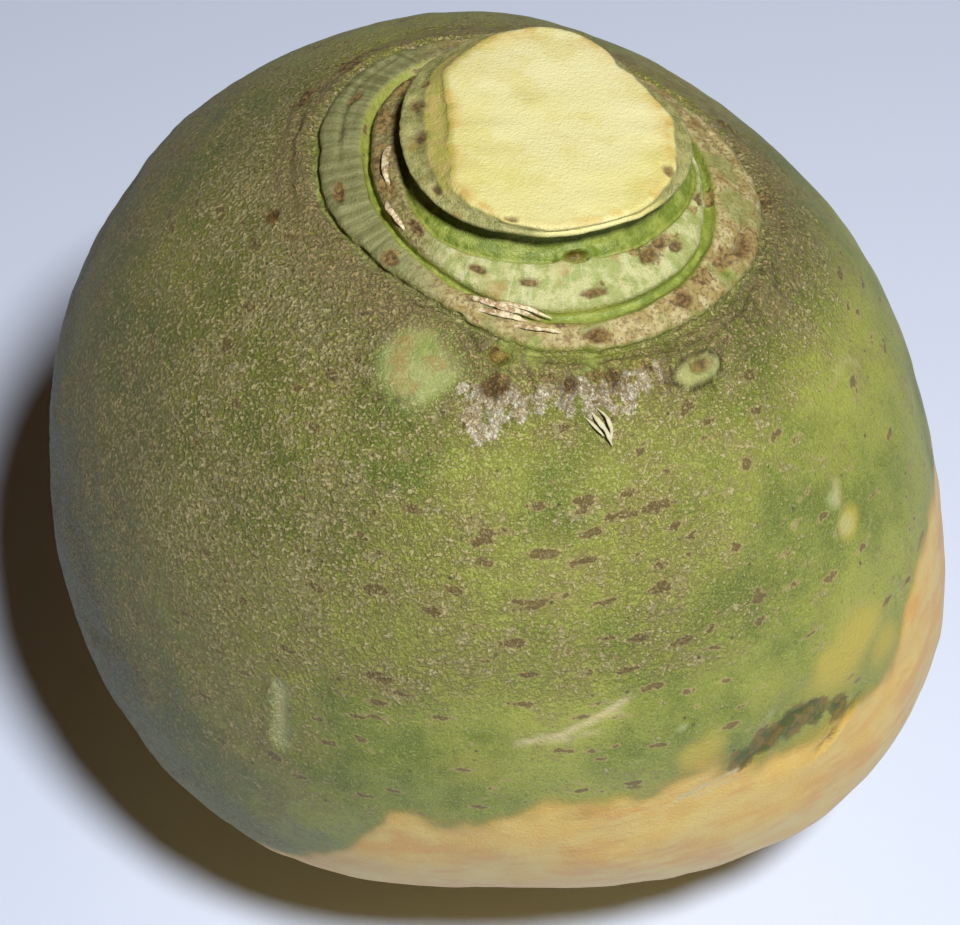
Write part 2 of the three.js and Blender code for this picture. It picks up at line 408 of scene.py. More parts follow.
for azimuth, radius, long, wide, depth, lift in SCARS:
    middle = by_neck(azimuth, radius, lift)
    a = math.radians(azimuth)
    tangent = np.array([-math.sin(a), math.cos(a), 0])
    offset = points - middle
    u = (offset @ tangent) / long
    v = np.linalg.norm(offset - (offset @ tangent)[:, None] * tangent, axis=-1) / wide
    r = np.hypot(u, v) + 0.14 * lattice(points, 0.9, 51)
    marks["scar"] = np.maximum(marks["scar"], 1 - ease(r, 0.6, 1.15))
    push += depth * (0.55 * np.exp(-((r - 1.1) / 0.22) ** 2) - (1 - ease(r, 0.3, 1.0)))
print(len(SCARS), "leaf-trace scars")

# %% Dark pits in the lip itself
LIP_PITS = ((-179, 16.4, 1.5, 0.9), (163, 17.6, 1.7, 1.0), (-108, 16.2, 1.0, 0.5), (-24, 16.0, 1.0, 0.8),
            (-146, 17.2, 0.9, 0.5), (150, 18.4, 1.0, 0.6))
for azimuth, radius, long, wide in LIP_PITS:
    a = math.radians(azimuth)
    offset = plan_from_neck - radius * np.array([math.cos(a), math.sin(a)])
    u = offset @ np.array([-math.sin(a), math.cos(a)]) / long
    v = offset @ np.array([math.cos(a), math.sin(a)]) / wide
    r = np.hypot(u, v) + 0.3 * lattice(points, 0.8, 58)
    pit = (1 - ease(r, 0.5, 1.1)) * (place > station_index["lip_under"] + 0.5)
    marks["scar"] = np.maximum(marks["scar"], pit)
    push -= 0.45 * pit
print(len(LIP_PITS), "pits in the lip")

# %% Bud holes: a round dimple with a darker plug in it
BUDS = ((by_neck(-79, 16.3, 1.4), 1.9, 1.0, 1.0), (by_neck(-103, 28.9, 0.0), 1.9, 1.5, 0.7),
        (on_body(-46.4, 54.4), 2.0, 1.3, 0.5), (by_neck(-174, 35.5, 0), 1.5, 1.2, 0.4))
for middle, long, wide, depth in BUDS:
    a = math.atan2(middle[1] - NECK[1], middle[0] - NECK[0])
    tangent = np.array([-math.sin(a), math.cos(a), 0])
    offset = points - middle
    u = (offset @ tangent) / long
    v = np.linalg.norm(offset - (offset @ tangent)[:, None] * tangent, axis=-1) / wide
    r = np.hypot(u, v)
    marks["bud"] = np.maximum(marks["bud"], 1 - ease(r, 0.45, 1.0))
    push += depth * (0.45 * np.exp(-((r - 1.25) / 0.3) ** 2) - 0.9 * (1 - ease(r, 0.5, 1.0))
                     + 0.4 * (1 - ease(r, 0.0, 0.45)))
print(len(BUDS), "bud holes")

# %% Cracks and creases: thin lines pressed into the skin
CREASES = (
    # path, width, depth, darkness
    ([by_neck(-131, 27.5), by_neck(-124, 26.6), by_neck(-117, 26.3), by_neck(-112, 27.0),
      by_neck(-109, 28.6), by_neck(-107, 30.0)], 0.35, 0.55, 1.0),
    ([on_body(-121.6, 57.3), on_body(-119, 56.3), on_body(-116.2, 55.5), on_body(-112, 55.2),
      on_body(-109, 56.0), on_body(-107.5, 58.2)], 0.3, 0.35, 0.75),
    ([by_neck(-96, 29.0), by_neck(-82, 28.8), by_neck(-66, 29.2), by_neck(-50, 29.8),
      by_neck(-36, 29.8), by_neck(-22, 29.0)], 0.35, 0.45, 0.7),
    ([by_neck(-30, 25.3), by_neck(-12, 25.0), by_neck(4, 24.8), by_neck(22, 24.9),
      by_neck(40, 24.4)], 0.4, 0.7, 0.55),
    ([by_neck(-14, 30.4), by_neck(0, 30.6), by_neck(16, 30.2), by_neck(30, 29.6)], 0.35, 0.4, 0.4),
    ([by_neck(150, 36.6), by_neck(165, 34.6), by_neck(178, 33.4), by_neck(-168, 32.6)], 0.45, 0.4, 0.4),
    ([by_neck(128, 31.0), by_neck(145, 30.6), by_neck(160, 28.6), by_neck(175, 27.0)], 0.4, 0.45, 0.5),
    ([on_body(-42.9, 5.3), on_body(-45.6, 4.6), on_body(-48.4, 2.2), on_body(-51.1, 0.5)], 0.5, 0.6, 0.8),
    ([on_body(-62.5, 4.6), on_body(-58, 5.6), on_body(-54, 8.6), on_body(-50, 9.6)], 0.5, 0.35, 0.4),
    ([on_body(-17.6, 40), on_body(-16.2, 36.5), on_body(-15.6, 34)], 0.4, 0.2, 0.15),
)
jitter = np.stack([lattice(points, 1.6, 60 + k) for k in range(3)], -1) * 0.35
for path, width, depth, darkness in CREASES:
    d = to_path(points + jitter, np.array(path))
    ends = np.minimum(np.linalg.norm(points - path[0], axis=-1),
                      np.linalg.norm(points - path[-1], axis=-1))
    fade = 0.3 + 0.7 * ease(ends, 0, 3.0)
    push -= depth * fade * np.exp(-(d / width) ** 2)
    push += 0.35 * depth * fade * np.exp(-((d - 2.1 * width) / (1.1 * width)) ** 2)
    marks["crack"] = np.maximum(marks["crack"], darkness * fade * np.exp(-(d / (0.75 * width)) ** 2))
print(len(CREASES), "cracks and creases")

# %% Radial cracks in the old skin outside the second shelf
rng = np.random.default_rng(7)
RADIAL_CRACKS = 46
for k in range(RADIAL_CRACKS):
    azimuth = rng.uniform(-104, -14)
    start = rng.uniform(26.5, 31.5)
    length = rng.uniform(1.2, 3.6)
    lean = rng.uniform(-3, 3)
    path = np.array([by_neck(azimuth, start, 0.3), by_neck(azimuth + lean, start + length, 0.2)])
    near = np.abs(neck_radius - start - length / 2) < length + 1
    d = np.full(len(points), 9.0)
    d[near] = to_path(points[near] + 0.7 * jitter[near], path)
    push -= 0.3 * np.exp(-(d / 0.28) ** 2)
    marks["crack"] = np.maximum(marks["crack"], rng.uniform(0.3, 0.9) * np.exp(-(d / 0.24) ** 2))
print(RADIAL_CRACKS, "radial cracks")

# %% The cracked white scales in front of the crown
SCALE_PATCHES = ((-93.4, 55.4, 3.4), (-88, 56.4, 2.6), (-81, 57.2, 2.6), (-74, 56.4, 3.0),
                 (-67.5, 55.8, 2.8), (-61.5, 55.8, 2.4), (-56.5, 56.2, 1.8), (-96, 57.5, 2.0))
for azimuth, elevation, size in SCALE_PATCHES:
    away = np.linalg.norm(points - on_body(azimuth, elevation), axis=-1)
    away = away + 0.9 * lattice(points, 1.5, 71)
    marks["scale"] = np.maximum(marks["scale"], 1 - ease(away, 0.55 * size, 1.25 * size))
columns = np.cos(neck_angle * 2 * math.pi / 4.6 + 1.6 * lattice(points, 4, 72))
marks["scale"] = marks["scale"] * (0.74 + 0.26 * columns)
push += 0.3 * marks["scale"] * (0.5 + 0.5 * columns)
print("scales cover", int((marks["scale"] > 0.5).sum()), "points")

# %% Brown stains on the shelves, and patches of old skin between them
STAINS = (
    # azimuth and radius round the neck, half length, half width
    (-53, 17.6, 1.6, 1.3), (-46, 18.6, 2.6, 1.6), (-38, 18.4, 2.0, 1.2), (-73, 20.8, 1.8, 0.9),
    (-17, 18.6, 1.2, 1.1), (-2, 20.6, 1.6, 1.0), (-144, 25.0, 1.4, 1.2), (-112, 23.6, 3.0, 0.6),
    (-102, 23.6, 3.0, 0.7), (-78, 26.1, 1.8, 1.1), (-49, 24.7, 2.6, 1.4), (-38, 24.2, 2.0, 1.2),
    (-27, 24.6, 2.6, 1.8), (-16, 26.0, 2.6, 1.8), (-173, 27.0, 2.4, 0.8), (-170, 21.0, 3.2, 1.2),
    (178, 21.6, 3.4, 1.4), (160, 22.6, 3.4, 1.6), (140, 24.0, 4.0, 1.6), (-90, 24.4, 2.2, 0.6),
    (136, 36.0, 4.2, 1.6), (150, 37.0, 3.6, 1.4), (100, 28.0, 4.0, 1.6), (61, 26.0, 3.0, 1.4),
    (36, 30.0, 3.4, 1.2), (6, 28.4, 2.8, 1.0), (-80, 30.4, 1.4, 1.0), (-67, 30.2, 1.3, 0.9),
    (-73, 31.2, 1.2, 0.7), (-102, 32.2, 1.7, 1.5), (-91, 30.6, 1.4, 0.6), (-104, 28.4, 1.0, 1.0),
)
for azimuth, radius, long, wide in STAINS:
    a = math.radians(azimuth)
    offset = plan_from_neck - radius * np.array([math.cos(a), math.sin(a)])
    u = offset @ np.array([-math.sin(a), math.cos(a)]) / long
    v = offset @ np.array([math.cos(a), math.sin(a)]) / wide
    r = np.hypot(u, v) + 0.45 * lattice(points, 1.3, 65) + 0.25 * lattice(points, 0.5, 66)
    spot = (1 - ease(r, 0.45, 1.15)) * (points[:, 2] > 80) * (place < station_index["waist"])
    marks["stain"] = np.maximum(marks["stain"], spot)
push += 0.18 * marks["stain"] * lattice(points, 0.8, 67)
print("stains cover", int((marks["stain"] > 0.5).sum()), "points")

# %% Scratches: straight cuts that healed pale
SCRATCHES = (
    # path, width, strength
    ([on_body(-87.6, 16.2), on_body(-82.5, 17.2), on_body(-77.5, 19.2), on_body(-74.4, 20.7)], 0.5, 1.0),
    ([on_body(-85.5, 16.3), on_body(-81.5, 16.4), on_body(-78.0, 17.2)], 0.32, 0.6),
    ([on_body(-81.0, 18.4), on_body(-77.0, 19.0), on_body(-75.0, 18.6)], 0.3, 0.55),
    ([on_body(-68.6, 2.4), on_body(-65.1, 3.7), on_body(-61.3, 4.2)], 0.45, 1.0),
    ([on_body(-66.5, 1.9), on_body(-63.0, 2.8), on_body(-60.6, 2.9)], 0.34, 0.5),
    ([on_body(-24, 41), on_body(-20, 40.4), on_body(-18, 38.4)], 0.4, 0.45),
    ([on_body(-36.4, 32.6), on_body(-37.6, 30.6)], 0.7, 0.5),
    ([on_body(-117.3, 17.2), on_body(-117.1, 14.1), on_body(-116.9, 12.5)], 0.8, 0.55),
    ([on_body(-117.0, 11.5), on_body(-116.7, 9.6)], 0.6, 0.3),
)
for path, width, strength in SCRATCHES:
    away = to_path(points + 0.35 * jitter, np.array(path)) + 0.1 * lattice(points, 0.9, 73)
    marks["scratch"] = np.maximum(marks["scratch"], strength * np.exp(-(away / width) ** 2))
    push -= 0.2 * strength * np.exp(-(away / width) ** 2)
print(len(SCRATCHES), "scratches")

# %% The oval scar on the right of the crown, with its thin green outline
oval_middle, oval_long, oval_wide = on_body(-47.4, 54.1), 3.6, 1.9
a = math.atan2(oval_middle[1] - NECK[1], oval_middle[0] - NECK[0])
tangent = np.array([-math.sin(a), math.cos(a), 0])
offset = points - oval_middle
u = (offset @ tangent) / oval_long
v = np.linalg.norm(offset - (offset @ tangent)[:, None] * tangent, axis=-1) / oval_wide
r = np.hypot(u, v) + 0.06 * lattice(points, 1.2, 74)
push += 0.28 * (1 - ease(r, 0.75, 1.0)) - 0.3 * np.exp(-((r - 1.03) / 0.09) ** 2)
oval = 1 - ease(r, 0.85, 1.1)
marks["pale"] = np.maximum(marks["pale"], 0.6 * oval)
marks["crack"] = np.maximum(marks["crack"], 0.9 * np.exp(-((r - 1.06) / 0.12) ** 2))

# %% Lobed tan marks on the smooth bump, scratches and pale scars on the belly
LOBES = ((-113.6, 61.8, 0.9), (-113.3, 60.7, 0.8), (-112.8, 59.4, 0.9), (-112.0, 58.2, 1.0),
         (-109.6, 57.4, 0.9), (-104.5, 60.6, 0.6), (-106.6, 60.9, 0.5))
for azimuth, elevation, size in LOBES:
    away = np.linalg.norm(points - on_body(azimuth, elevation), axis=-1)
    away = away + 0.3 * lattice(points, 0.9, 75)
    marks["amber"] = np.maximum(marks["amber"], np.exp(-((away - 0.85 * size) / 0.36) ** 2))
    push += 0.12 * (1 - ease(away, 0.5 * size, size))
LENS_SCAR = [on_body(-117.6, 18.2), on_body(-117.1, 14.1), on_body(-116.7, 9.6)]
away = to_path(points + jitter, np.array(LENS_SCAR))
push += -0.35 * np.exp(-(away / 0.8) ** 2) + 0.25 * np.exp(-((away - 1.6) / 0.5) ** 2)
marks["pale"] = np.maximum(marks["pale"], 1 - ease(away, 0.6, 1.9))
DOTS = ((-68.1, 15.0, 0.75), (-56.3, 11.1, 0.8), (-38.2, 27.7, 1.7), (-38.3, 31.4, 1.3))
for azimuth, elevation, size in DOTS:
    away = np.linalg.norm(points - on_body(azimuth, elevation), axis=-1)
    marks["pale"] = np.maximum(marks["pale"], 0.75 * (1 - ease(away, 0.4 * size, 1.2 * size)))
YELLOW = ((-42.6, 13.9, 7.5), (-47, 12.5, 5), (-38, 9.5, 5), (-38.2, 27.7, 2.4), (-66, 10, 4))
for azimuth, elevation, size in YELLOW:
    away = np.linalg.norm(points - on_body(azimuth, elevation), axis=-1)
    away = away + 1.3 * lattice(points, 3.5, 77)
    marks["yellow"] = np.maximum(marks["yellow"], 0.8 * (1 - ease(away, 0.2 * size, 1.1 * size)))
BRUISE = ((-60.5, 5.9, 3.2), (-57, 7.0, 3.6), (-53.5, 7.6, 3.8), (-50, 7.2, 3.2), (-47, 6.4, 2.6))
for azimuth, elevation, size in BRUISE:
    away = np.linalg.norm(points - on_body(azimuth, elevation), axis=-1)
    away = away + 0.9 * lattice(points, 2.2, 78)
    marks["bruise"] = np.maximum(marks["bruise"], 1 - ease(away, 0.3 * size, 1.05 * size))
print("bruise covers", int((marks["bruise"] > 0.5).sum()), "points")

# %% Where the tan base begins, as a height round the root
BASE_LINE = (
    # azimuth, elevation
    (-180, -24), (-150, -26), (-125, -22), (-112, -13), (-103, 1), (-85, 5.5), (-72, 6), (-66, 8.5),
    (-58, 4), (-43, 4.5), (-37, 6), (-31, 12), (-21, 14), (0, 14), (30, 10), (60, 2), (100, -8),
    (140, -18), (180, -24),
)
azimuth = np.degrees(np.arctan2(body_dir[:, 1], body_dir[:, 0]))
elevation = np.degrees(np.arcsin(np.clip(body_dir[:, 2], -1, 1)))
line = np.interp(azimuth, *zip(*BASE_LINE))
ragged = 2.0 * layered(points, 9, 81) + 0.7 * lattice(points, 2.2, 85)
marks["base"] = ease(line + ragged - elevation, -2.4, 3.4)

# %% How thickly the skin is roughened with cork
left = ease(-azimuth, 78, 135) * ease(azimuth, -215, -150) + ease(azimuth, 95, 150)
crown_near = 1 - ease(neck_radius, 30, 44)
crown_near = crown_near * (points[:, 2] > 60)
rows = ease(elevation, 14, 26) * (1 - ease(elevation, 42, 50))
rows = rows * ease(azimuth, -125, -105) * (1 - ease(azimuth, -50, -25))
right_crown = np.exp(-((azimuth + 8) / 30) ** 2) * np.exp(-((neck_radius - 30) / 6) ** 2)
right_crown = right_crown * (points[:, 2] > 60)
bump = np.linalg.norm(points - on_body(-109, 60), axis=-1)
bump = 1 - ease(bump + 1.0 * lattice(points, 3, 87), 3.6, 7.0)
marks["rows"] = rows
density = 0.28 + 0.38 * np.clip(left, 0, 1) + 0.36 * crown_near + 0.15 * rows + 0.4 * right_crown
density = density - 0.1 * ease(azimuth, -118, -100) * (1 - crown_near)
density = density - 0.16 * ease(azimuth, -70, -45) * (1 - ease(azimuth, 20, 70)) * (1 - crown_near)
density = density - 0.26 * (1 - ease(elevation, 17, 25)) * ease(azimuth, -122, -105)
density = density + 0.12 * layered(points, 17, 91, 2) - 0.2 * (1 - ease(elevation, -6, 12))
density = density * (1 - 0.85 * bump) * (1 - 0.9 * oval)
marks["smooth"] = np.maximum(0.9 * oval, 0.6 * bump)
marks["cork"] = np.clip(density, 0.02, 1) * (1 - 0.9 * marks["base"])
marks["pale"] = np.maximum(marks["pale"], 0.5 * bump)
print("mean cork", round(float(marks["cork"].mean()), 2))


# %% Zones of the neck, read from each ring's place among the stations
def zone(first, last, fade=0.5):
    a, b = station_index[first], station_index[last]
    return ease(place, a - fade, a + fade) * (1 - ease(place, b - fade, b + fade))


marks["flesh"] = ease(place, station_index["rind"] + 0.75, station_index["flesh_foot"] + 0.35)
turned_away = (neck_angle - 180) % 360  # 0 at the left of the neck, growing towards the front
skirt = ease(turned_away, 78, 90) * (1 - ease(turned_away, 130, 150))
marks["flesh"] = np.maximum(marks["flesh"], skirt * ease(place, station_index["lip_under"] + 0.4,
                                                         station_index["lip_low"] + 0.6))
marks["rind"] = zone("lip_under", "flesh_foot", 0.5) * (1 - marks["flesh"])
left_side = np.clip(1 - ease(turned_away, 32, 50) + ease(turned_away, 285, 300), 0, 1)
ledge = ease(place, station_index["rind"] - 0.25, station_index["rind"] + 0.05)
ledge = ledge * (1 - ease(place, station_index["flesh_in"] - 0.6, station_index["flesh_in"] + 0.3))
marks["facet"] = ledge * left_side
fold = np.exp(-((place - station_index["rind"] + 0.28) / 0.16) ** 2) * left_side
marks["crack"] = np.maximum(marks["crack"], 0.55 * fold)
green_side = 0.2 + 0.8 * np.maximum(np.exp(-((turned_away - 5) / 32) ** 2),
                                    np.exp(-((turned_away - 365) / 32) ** 2))
marks["green"] = np.maximum.reduce([
    zone("bead_foot", "lip_under", 0.35), zone("second_floor", "first_under", 0.55),
    0.9 * zone("third_wall", "second_under", 0.45) * green_side])
GREEN_SPOTS = ((-101, 28.6, 2.6), (-95, 27.9, 2.2), (-80, 28.4, 2.0), (-30, 26.2, 1.7), (-120, 31.0, 1.6))
for azimuth, radius, size in GREEN_SPOTS:
    a = math.radians(azimuth)
    away = np.linalg.norm(plan_from_neck - radius * np.array([math.cos(a), math.sin(a)]), axis=-1)
    away = away + 0.6 * lattice(points, 1.8, 97)
    spot = (1 - ease(away, 0.35 * size, size)) * (points[:, 2] > 80)
    marks["green"] = np.maximum(marks["green"], 0.75 * spot)
edge_side = (np.exp(-((neck_angle - 95) / 32) ** 2) + 0.8 * np.exp(-((neck_angle - 5) / 26) ** 2)
             + 0.9 * np.exp(-((neck_angle + 55) / 24) ** 2) + 0.7 * np.exp(-((turned_away - 55) / 22) ** 2)
             + ease(turned_away, 320, 340) + 1 - ease(turned_away, 22, 40))
marks["dried"] = (zone("flesh_foot", "flesh_in", 0.7) * np.clip(edge_side, 0, 1)
                  * ease(lattice(points, 2.4, 98) + 0.5 * lattice(points, 1.1, 99), -0.55, 0.25))
marks["first"] = zone("first_lip", "first_in", 0.35)
marks["second"] = zone("second_lip", "second_in", 0.35)
marks["third"] = zone("third_out", "third_lip", 0.6)
on_crown = place >= station_index["second_lip"]
marks["cork"] = np.where(on_crown, 0.0, marks["cork"])
marks["base"] = np.where(place >= 0, 0.0, marks["base"])

# %% Press the marks and the small lumps of growth into the surface
calm = 1 - 0.85 * marks["flesh"]
lumps = 0.35 * layered(points, 15, 101, 2) * (place < 0) + 0.16 * lattice(points, 4.2, 103) * calm
grain = 0.1 * lattice(points, 1.7, 105) * marks["cork"] * 1.6
shelf_grain = 0.07 * lattice(points, 0.9, 107) * (place >= 0) * calm
flesh_cut = 0.1 * lattice(points * np.array([0.35, 1, 1]), 2.4, 109) * marks["flesh"]
grown = points + outward * (push + lumps + grain + shelf_grain + flesh_cut)[:, None]
underside = points[:, 2] < 0.02
grown[underside] = points[underside]
grown[:, 2] = np.maximum(grown[:, 2], 0.0)
grown = grown.reshape(rings.shape)
print("deepest mark", round(float(push.min()), 2), "mm, highest", round(float(push.max()), 2), "mm")

# %% [markdown]
# ## From points to a mesh
# The sheet is closed with one fan at the heart of the cut and one at the middle of the flat. It is
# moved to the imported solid's frame, where the origin is under the middle of the box.

# %% Build the root
MM = 0.001
bounds_low, bounds_high = rings.reshape(-1, 3).min(0), rings.reshape(-1, 3).max(0)
shift = np.array([*(0.5 * (bounds_low + bounds_high))[:2], 0.0])
total = len(rings)
vertices = np.concatenate([grown.reshape(-1, 3),
                           [grown[0].mean(0) * (1, 1, 0), grown[-1].mean(0)]])
vertices = (vertices - shift) * MM
reach_low, reach_high = vertices.min(0), vertices.max(0)
fit_high = np.minimum(1, np.array(high) / reach_high)
fit_low = np.minimum(1, np.array(low)[:2] / reach_low[:2])
fit = np.minimum(fit_high, np.append(fit_low, 1)) - 1e-5
vertices *= fit
index = np.arange(total * COLUMNS).reshape(total, COLUMNS)
ahead = np.roll(index, -1, 1)
quads = np.stack([index[:-1], ahead[:-1], ahead[1:], index[1:]], -1).reshape(-1, 4)
flat_heart, cut_heart = total * COLUMNS, total * COLUMNS + 1
faces = quads.tolist()
faces += [[flat_heart, b, a] for a, b in zip(index[0].tolist(), ahead[0].tolist())]
faces += [[cut_heart, a, b] for a, b in zip(index[-1].tolist(), ahead[-1].tolist())]
mesh = bpy.data.meshes.new("rutabaga_root")
mesh.from_pydata(vertices.tolist(), [], faces)
mesh.validate()
mesh.shade_smooth()
for name, values in marks.items():
    layer = mesh.attributes.new(name, "FLOAT", "POINT")
    layer.data.foreach_set("value", np.append(values, values[[0, -1]]).astype(np.float32))
root = bpy.data.objects.new("rutabaga_root", mesh)
bpy.context.scene.collection.objects.link(root)
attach(root, "root")
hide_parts("rutabaga")
print("root has", len(mesh.vertices), "points and", sum(len(p.vertices) - 2 for p in mesh.polygons),
      "triangles; moved by", np.round(shift, 2), "mm")

# %% [markdown]
# ## Loose shreds of skin
# Where a leaf scar dried out, thin shreds of old skin stand off the surface. Each is a flat closed
# strand along a short path, wide in the middle and pointed at its ends. Cloth could curl them more
# freely, but a path keeps each one where it belongs.

# %% Build the shreds
SHRED_STEPS, SHRED_SIDES = 22, 8


def off_body(azimuth, elevation, stand):
    return on_body(azimuth, elevation) + stand * toward(azimuth, elevation)


SHREDS = (
    # path, half width, half thickness
    ([off_body(-72.0, 54.9, 0.0), off_body(-71.3, 53.6, 0.7), off_body(-70.3, 52.0, 1.0),
      off_body(-69.9, 50.3, 0.5)], 0.32, 0.09),
    ([off_body(-70.6, 55.0, 0.0), off_body(-69.5, 53.7, 0.9), off_body(-69.3, 52.2, 1.1),
      off_body(-70.0, 50.6, 0.5)], 0.24, 0.08),
    ([off_body(-73.2, 54.2, 0.0), off_body(-72.1, 53.0, 0.5), off_body(-70.9, 51.6, 0.7)], 0.2, 0.08),
    ([by_neck(-118, 23.6, 0.4), by_neck(-112, 23.7, 1.3), by_neck(-105, 23.9, 1.5),
      by_neck(-98, 23.9, 1.3), by_neck(-93, 24.0, 0.5)], 0.45, 0.1),
    ([by_neck(-114, 24.6, 0.4), by_neck(-108, 24.7, 1.2), by_neck(-101, 24.6, 1.3),
      by_neck(-96, 24.5, 0.5)], 0.4, 0.1),
    ([by_neck(-110, 23.0, 0.2), by_neck(-104, 23.1, 1.1), by_neck(-97, 23.2, 1.2),
      by_neck(-90, 23.6, 0.4)], 0.3, 0.09),
    ([by_neck(-103, 25.3, 0.4), by_neck(-97, 25.5, 1.1), by_neck(-90, 25.6, 1.2),
      by_neck(-86, 25.6, 0.5)], 0.3, 0.1),
    ([by_neck(168, 20.4, 0.8), by_neck(177, 20.8, 1.9), by_neck(-174, 21.0, 1.9),
      by_neck(-166, 20.6, 0.8)], 0.5, 0.14),
    ([by_neck(-164, 21.4, 0.8), by_neck(-158, 22.0, 1.8), by_neck(-152, 21.6, 1.6),
      by_neck(-147, 21.4, 0.8)], 0.42, 0.12),
)


def strand(path, half_width, half_thickness):
    """Rings along a smoothed path, flat against the surface below."""
    path = np.array(path)
    along = np.concatenate([[0], np.cumsum(np.linalg.norm(np.diff(path, axis=0), axis=1))])
    t = np.linspace(0, along[-1], SHRED_STEPS)
    line = np.stack([np.interp(t, along, path[:, k]) for k in range(3)], -1)
    for _ in range(3):
        line[1:-1] = 0.25 * line[:-2] + 0.5 * line[1:-1] + 0.25 * line[2:]
    ahead = np.gradient(line, axis=0)
    ahead /= np.linalg.norm(ahead, axis=1, keepdims=True)
    out = line - np.array([0, 0, MIDDLE])
    out /= np.linalg.norm(out, axis=1, keepdims=True)
    across = np.cross(ahead, out)
    across /= np.linalg.norm(across, axis=1, keepdims=True)
    lift = np.cross(across, ahead)
    share = np.linspace(0, 1, SHRED_STEPS)
    taper = np.sin(math.pi * np.clip(share, 0.03, 0.97)) ** 0.6
    taper = taper * (1 + 0.3 * lattice(line, 0.7, 121))
    angle = np.arange(SHRED_SIDES) / SHRED_SIDES * 2 * math.pi
    ring = (half_width * taper)[:, None, None] * np.cos(angle)[None, :, None] * across[:, None]
    ring = ring + half_thickness * taper[:, None, None] * np.sin(angle)[None, :, None] * lift[:, None]
    return line[:, None] + ring


shred_points, shred_faces = [], []
for path, half_width, half_thickness in SHREDS:
    first = len(shred_points)
    shred_points += strand(path, half_width, half_thickness).reshape(-1, 3).tolist()
    for i in range(SHRED_STEPS - 1):
        for j in range(SHRED_SIDES):
            a, b = first + i * SHRED_SIDES + j, first + i * SHRED_SIDES + (j + 1) % SHRED_SIDES
            shred_faces.append([a, b, b + SHRED_SIDES, a + SHRED_SIDES])
    shred_faces.append([first + j for j in reversed(range(SHRED_SIDES))])
    shred_faces.append([first + (SHRED_STEPS - 1) * SHRED_SIDES + j for j in range(SHRED_SIDES)])
shred_mesh = bpy.data.meshes.new("loose_shreds")
shred_mesh.from_pydata(((np.array(shred_points) - shift) * MM * fit).tolist(), [], shred_faces)
shred_mesh.shade_smooth()
shreds = bpy.data.objects.new("loose_shreds", shred_mesh)
bpy.context.scene.collection.objects.link(shreds)
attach(shreds, "root")
print(len(SHREDS), "shreds in", len(shred_faces), "faces")

# %% [markdown]
# ## Sums on the surface
# A finish is worked out from noise and from the masks. Writing it as sums in Python is easier to
# read than a drawn graph, so one small class wraps a socket, and each operator adds a Math node.


# %% A socket that can be added up
class Wire:
    def __init__(self, tree, socket):
        self.tree, self.socket = tree, socket

    def sum(self, operation, *terms):
        return make(self.tree, "ShaderNodeMath", {"operation": operation}, dict(enumerate(terms)))

    def __add__(self, other): return self.sum("ADD", self, other)
    def __radd__(self, other): return self.sum("ADD", other, self)
    def __sub__(self, other): return self.sum("SUBTRACT", self, other)
    def __rsub__(self, other): return self.sum("SUBTRACT", other, self)
    def __mul__(self, other): return self.sum("MULTIPLY", self, other)
    def __rmul__(self, other): return self.sum("MULTIPLY", other, self)
    def __truediv__(self, other): return self.sum("DIVIDE", self, other)
    def most(self, other): return self.sum("MAXIMUM", self, other)
    def least(self, other): return self.sum("MINIMUM", self, other)

    def step(self, start, end, low=0.0, high=1.0):
        return make(self.tree, "ShaderNodeMapRange", {"interpolation_type": "SMOOTHSTEP"},
                    {"Value": self, "From Min": start, "From Max": end, "To Min": low, "To Max": high})


def make(tree, kind, settings=None, values=None, out=0):
    """Any node: its type, its settings, then the values or wires of its sockets."""
    node = tree.nodes.new(kind)
    for name, value in (settings or {}).items():
        setattr(node, name, value)
    for key, value in (values or {}).items():
        socket = node.inputs[key]
        if isinstance(value, Wire):
            tree.links.new(value.socket, socket)
        else:
            socket.default_value = value
    return Wire(tree, node.outputs[out]) if node.outputs else node


def paint(red, green, blue):
    """A colour given as it looks, 0 to 255, as the light it stands for."""
    parts = [c / 255 for c in (red, green, blue)]
    return tuple(c / 12.92 if c <= 0.04045 else ((c + 0.055) / 1.055) ** 2.4 for c in parts) + (1.0,)


def blend(tree, amount, under, over, kind="MIX"):
    return make(tree, "ShaderNodeMix", {"data_type": "RGBA", "blend_type": kind},
                {0: amount, 6: under, 7: over}, out=2)


print("tan as light:", [round(c, 3) for c in paint(190, 160, 110)])

# %% [markdown]
# ## The finish of the root
# Green skin, tan base, bright fresh grooves, pale corky shelves and moist yellow flesh run into
# each other on the real root, so they are one material, and the masks choose between them.

# %% Start the finish, and read the masks
finish = bpy.data.materials.new("rutabaga_skin")
finish.use_nodes = True
tree = finish.node_tree
tree.nodes.clear()
where = make(tree, "ShaderNodeTexCoord", out=3)
where_mm = make(tree, "ShaderNodeVectorMath", {"operation": "SCALE"}, {0: where, "Scale": 1000.0})
mask = {name: make(tree, "ShaderNodeAttribute", {"attribute_name": name}, out=2) for name in marks}


def noise(scale, detail=3.0, rough=0.55, warp=0.0, at=None):
    return make(tree, "ShaderNodeTexNoise", {"noise_dimensions": "3D"},
                {"Vector": at or where_mm, "Scale": scale, "Detail": detail, "Roughness": rough,
                 "Distortion": warp})


def stretched(x, y, z):
    return make(tree, "ShaderNodeVectorMath", {"operation": "MULTIPLY"}, {0: where_mm, 1: (x, y, z)})


def cells(scale, feature="F1", at=None, out=0):
    return make(tree, "ShaderNodeTexVoronoi", {"feature": feature},
                {"Vector": at or where_mm, "Scale": scale}, out=out)


